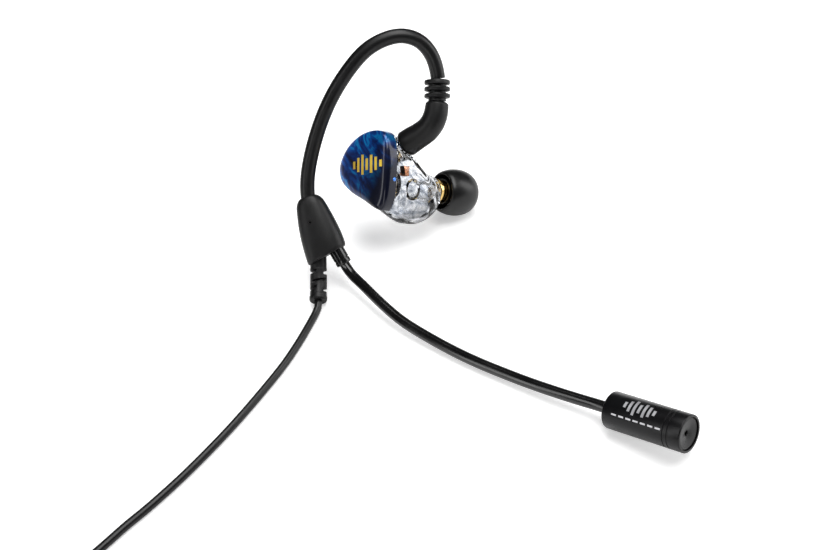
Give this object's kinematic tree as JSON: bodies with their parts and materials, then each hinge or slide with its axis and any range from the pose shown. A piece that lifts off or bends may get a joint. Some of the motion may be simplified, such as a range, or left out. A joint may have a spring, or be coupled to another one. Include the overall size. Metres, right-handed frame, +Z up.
{
  "type": "in-ear monitor with boom microphone",
  "caption": "In-ear monitor earpiece on a bendable ear hook, with a flexible boom microphone, a Y-yoke and a coiled lead ending in a headphone plug.",
  "frame": {"origin": "centre of the object's footprint on the table, without the free lead, its coil and its plug", "axes": "+Z up from the table; +Y is the longest way across, from the microphone towards the ear hook; +X to the right when the yoke is on the left"},
  "size_m": [0.1581, 0.1408, 0.0505],
  "materials": {
    "soft_black": "satin",
    "boom_black": "semi-gloss",
    "cable_black": "satin",
    "silicone_black": "satin",
    "anodised_black": "fine satin anodised",
    "blue_resin": "polished, pearl streaks inside",
    "clear_resin": "polished clear",
    "gold_plate": "polished gold plate",
    "steel": "satin",
    "white_plastic": "matte",
    "circuit_board": "solder mask",
    "foam_black": "open cell",
    "copper": "bare copper"
  },
  "bodies": {
    "yoke": {"yoke_front_shell": "soft_black", "yoke_rear_shell": "soft_black", "junction_board": "circuit_board", "boom_collar": "boom_black", "cable_strain_relief": "soft_black", "hook_root": "soft_black", "boom_root": "boom_black", "cable_run": "cable_black", "cable_coil": "cable_black", "cable_tail": "cable_black", "cable_tie": "white_plastic", "jack_boot": "soft_black", "jack_grip": "soft_black", "jack_core": "white_plastic", "jack_sleeve": "gold_plate", "jack_ring_1": "gold_plate", "jack_ring_2": "gold_plate", "jack_tip": "gold_plate"},
    "hook_lower": {"hook_lower": "soft_black"},
    "hook_middle": {"hook_middle": "soft_black"},
    "plug": {"hook_upper": "soft_black", "plug_relief": "soft_black", "plug_housing": "soft_black", "plug_barrel": "gold_plate", "plug_insulator": "white_plastic", "plug_pin": "gold_plate"},
    "snap_ring": {"snap_ring": "gold_plate"},
    "earpiece": {"faceplate": "blue_resin", "shell_body": "clear_resin", "mmcx_socket": "gold_plate", "socket_insulator": "white_plastic", "socket_contact": "gold_plate", "nozzle_tube": "gold_plate", "nozzle_screen": "steel", "dynamic_driver": "steel", "balanced_armature": "copper", "crossover_board": "circuit_board", "driver_wire": "copper", "armature_wire": "copper"},
    "ear_tip": {"ear_tip": "silicone_black"},
    "boom_1": {"boom_link_1": "boom_black"},
    "boom_2": {"boom_link_2": "boom_black"},
    "boom_3": {"boom_link_3": "boom_black"},
    "mic": {"boom_link_4": "boom_black", "mic_housing": "anodised_black", "mic_front_cap": "anodised_black", "mic_gasket": "foam_black", "mic_cartridge": "steel", "mic_sleeve": "foam_black", "mic_board": "circuit_board", "mic_grommet": "silicone_black"}
  },
  "joints": [
    {"name": "hook_bend_1", "type": "hinge", "parent": "yoke", "child": "hook_lower", "pos_m": [-0.03089, 0.04062, 0.02596], "axis": [0, -0.7612, 0.6486], "range_deg": [-4, 20]},
    {"name": "hook_bend_2", "type": "hinge", "parent": "hook_lower", "child": "hook_middle", "pos_m": [-0.02099, 0.04863, 0.03975], "axis": [0, -0.7612, 0.6486], "range_deg": [-4, 20]},
    {"name": "hook_bend_3", "type": "hinge", "parent": "hook_middle", "child": "plug", "pos_m": [-0.00571, 0.05423, 0.04849], "axis": [0, -0.7612, 0.6486], "range_deg": [-4, 20]},
    {"name": "plug_swivel", "type": "hinge", "parent": "plug", "child": "snap_ring", "pos_m": [-0.00681, 0.04442, 0.02298], "axis": [-0.7894, 0.2018, -0.5798], "range_deg": [-75, 75]},
    {"name": "earpiece_pull", "type": "slide", "parent": "snap_ring", "child": "earpiece", "axis": [-0.7894, 0.2018, -0.5798], "range_m": [0, 0.004]},
    {"name": "ear_tip_pull", "type": "slide", "parent": "earpiece", "child": "ear_tip", "axis": [0.7704, 0.3329, -0.5438], "range_m": [0, 0.006]},
    {"name": "boom_bend_1", "type": "hinge", "parent": "yoke", "child": "boom_1", "pos_m": [-0.02487, 0.01845, 0.00447], "axis": [0, -0.7612, 0.6486], "range_deg": [-25, 25]},
    {"name": "boom_bend_2", "type": "hinge", "parent": "boom_1", "child": "boom_2", "pos_m": [-0.01514, 0.00083, 0.0025], "axis": [0.7643, 0.4183, 0.4909], "range_deg": [-25, 25]},
    {"name": "boom_bend_3", "type": "hinge", "parent": "boom_2", "child": "boom_3", "pos_m": [-0.00227, -0.0148, 0.00177], "axis": [0, -0.7612, 0.6486], "range_deg": [-25, 25]},
    {"name": "boom_bend_4", "type": "hinge", "parent": "boom_3", "child": "mic", "pos_m": [0.01178, -0.02937, 0.00263], "axis": [0.7643, 0.4183, 0.4909], "range_deg": [-25, 25]}
  ]
}
